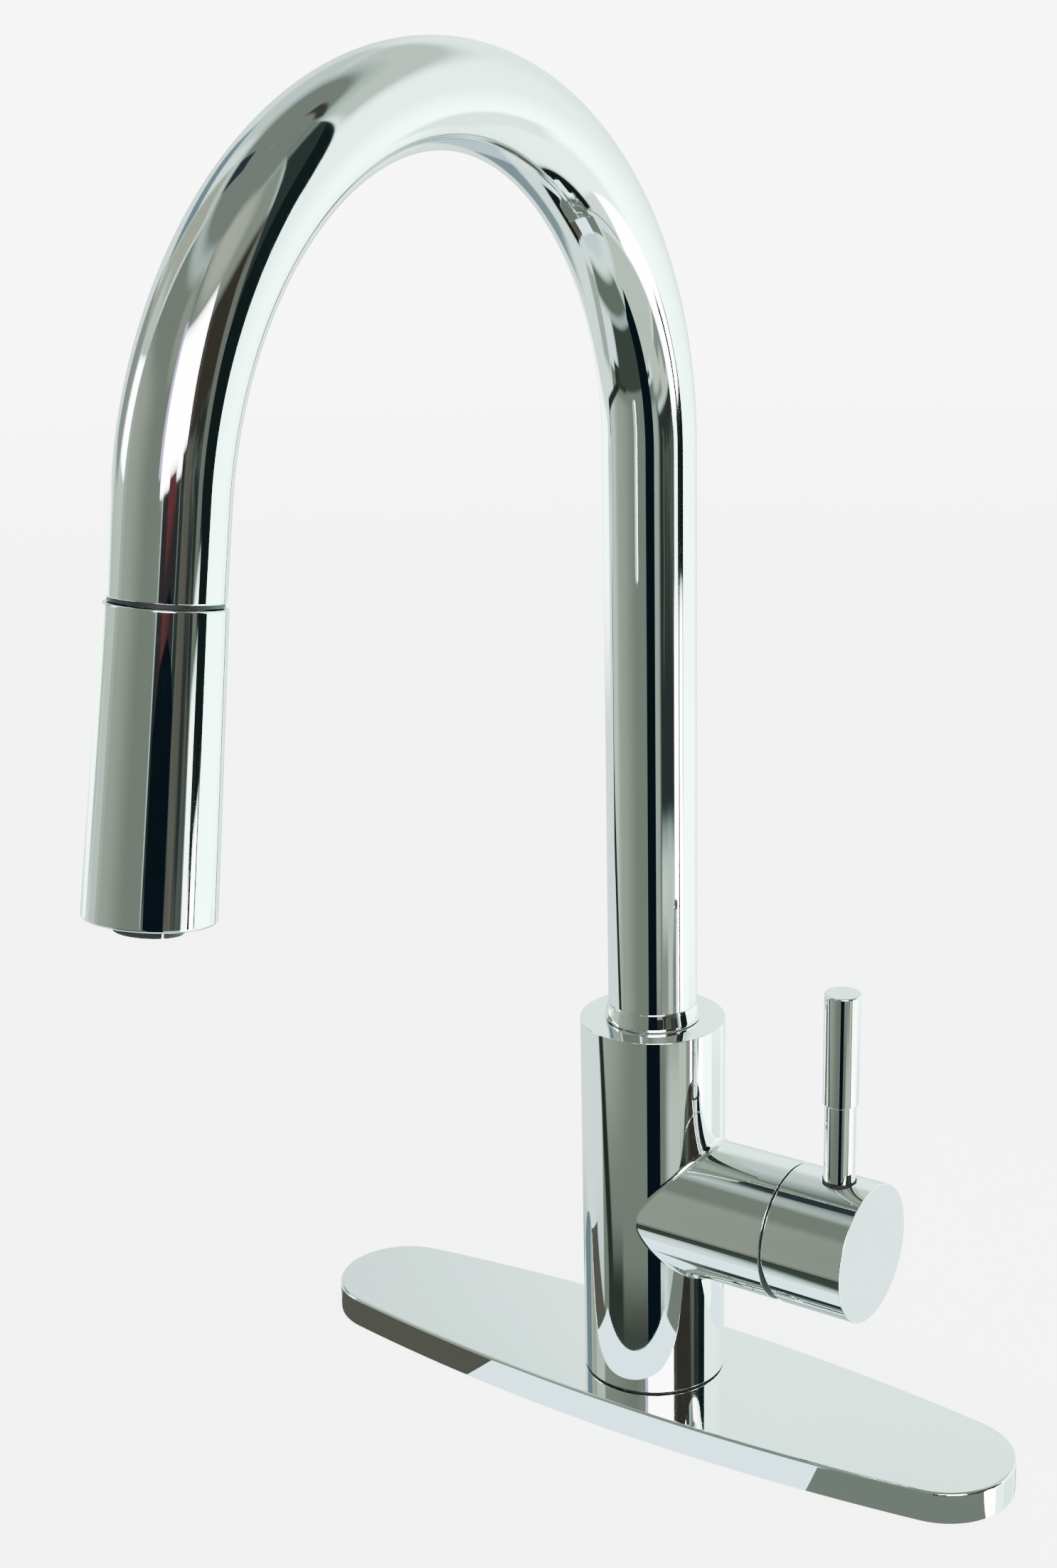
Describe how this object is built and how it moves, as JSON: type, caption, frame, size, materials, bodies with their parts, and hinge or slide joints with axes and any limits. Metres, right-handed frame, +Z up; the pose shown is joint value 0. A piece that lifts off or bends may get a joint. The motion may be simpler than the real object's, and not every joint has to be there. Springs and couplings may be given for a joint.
{
  "type": "pull-down kitchen faucet",
  "caption": "Chrome single-handle kitchen faucet with a gooseneck spout, a pull-down spray head, a side lever and a long bowed deck plate.",
  "frame": {"origin": "on the body's axis at deck level, in the plane on which the deck plate rests", "axes": "+X towards the handle, -Y the front where the spout points, +Z up"},
  "size_m": [0.254, 0.2687, 0.512],
  "materials": {
    "polished_chrome": "mirror-polished chrome plating",
    "lever_chrome": "mirror-polished chrome on the lever",
    "machined_brass": "turned brass",
    "stainless": "machined stainless steel",
    "zinc_steel": "zinc-plated steel",
    "black_rubber": "soft black rubber",
    "black_plastic": "satin black moulded plastic",
    "grey_plastic": "grey moulded plastic",
    "white_plastic": "natural white acetal",
    "ceramic_disc": "ground alumina",
    "magnet": "sintered magnet",
    "hose_braid": "tightly braided grey nylon"
  },
  "bodies": {
    "base": {"deck_plate": "polished_chrome", "plate_gasket": "black_plastic", "base_seal": "black_rubber", "faucet_body": "polished_chrome", "shank": "machined_brass", "rubber_washer": "black_rubber", "steel_washer": "zinc_steel", "mounting_nut": "machined_brass", "clamp_screws": "zinc_steel", "thrust_washer": "white_plastic", "swivel_bush": "white_plastic", "spout_screw": "stainless", "pull_hose_lower": "hose_braid", "hose_coupler": "machined_brass", "cartridge_seals": "black_rubber", "cartridge_base": "grey_plastic", "fixed_disc": "ceramic_disc", "cartridge_housing": "white_plastic", "cartridge_nut": "machined_brass"},
    "spout": {"spout_tube": "polished_chrome", "swivel_ring": "polished_chrome", "spout_adapter": "machined_brass", "spout_o_rings": "black_rubber", "dock_collar": "black_plastic", "dock_magnet": "magnet", "hose_guide": "grey_plastic", "pull_hose_upper": "hose_braid", "pull_hose_outlet": "hose_braid"},
    "hose_end": {"hose_ferrule": "stainless", "hose_swivel_nut": "machined_brass", "hose_swivel_seal": "black_rubber"},
    "spray_head": {"head_shell": "polished_chrome", "head_end_ring": "polished_chrome", "head_waterway": "grey_plastic", "dock_plate": "stainless", "head_seal": "black_rubber", "inlet_washer": "black_rubber", "check_valve": "white_plastic", "aerator_housing": "black_plastic", "aerator_gasket": "black_rubber", "aerator_core": "white_plastic", "aerator_screen": "stainless"},
    "stem_carriage": {"stem_guide": "white_plastic", "stem_pin": "stainless"},
    "mixer": {"mixing_disc": "ceramic_disc", "disc_carrier": "white_plastic"},
    "handle": {"cartridge_stem": "stainless", "handle_hub": "polished_chrome", "hub_screw": "stainless", "hub_plug": "grey_plastic", "lever_base_ring": "black_rubber", "lever_rod": "lever_chrome", "lever_grip": "lever_chrome"}
  },
  "joints": [
    {"name": "spout_swivel", "type": "hinge", "parent": "base", "child": "spout", "pos_m": [0, 0, 0.1338], "axis": [0, 0, 1], "range_deg": [-180, 180]},
    {"name": "head_pulldown", "type": "slide", "parent": "spout", "child": "hose_end", "axis": [0, -0.1685, -0.9857], "range_m": [0, 0.2], "stiffness_N_per_m": 12, "springref_m": -0.6, "deforming": ["pull_hose_outlet"]},
    {"name": "head_turn", "type": "hinge", "parent": "hose_end", "child": "spray_head", "pos_m": [0, -0.20933, 0.30966], "axis": [0, -0.1685, -0.9857], "continuous": true},
    {"name": "handle_temperature", "type": "hinge", "parent": "base", "child": "stem_carriage", "pos_m": [0.036, 0, 0.0715], "axis": [1, 0, 0], "range_deg": [-45, 45]},
    {"name": "handle_lift", "type": "hinge", "parent": "stem_carriage", "child": "handle", "pos_m": [0.036, 0, 0.0715], "axis": [0, 1, 0], "range_deg": [0, 10.5]},
    {"name": "disc_slide", "type": "slide", "parent": "stem_carriage", "child": "mixer", "axis": [0, 0, 1], "range_m": [0, 0.0013]}
  ],
  "couplings": [
    {"joint": "disc_slide", "follows": "handle_lift", "m_per_rad": 0.0061}
  ]
}
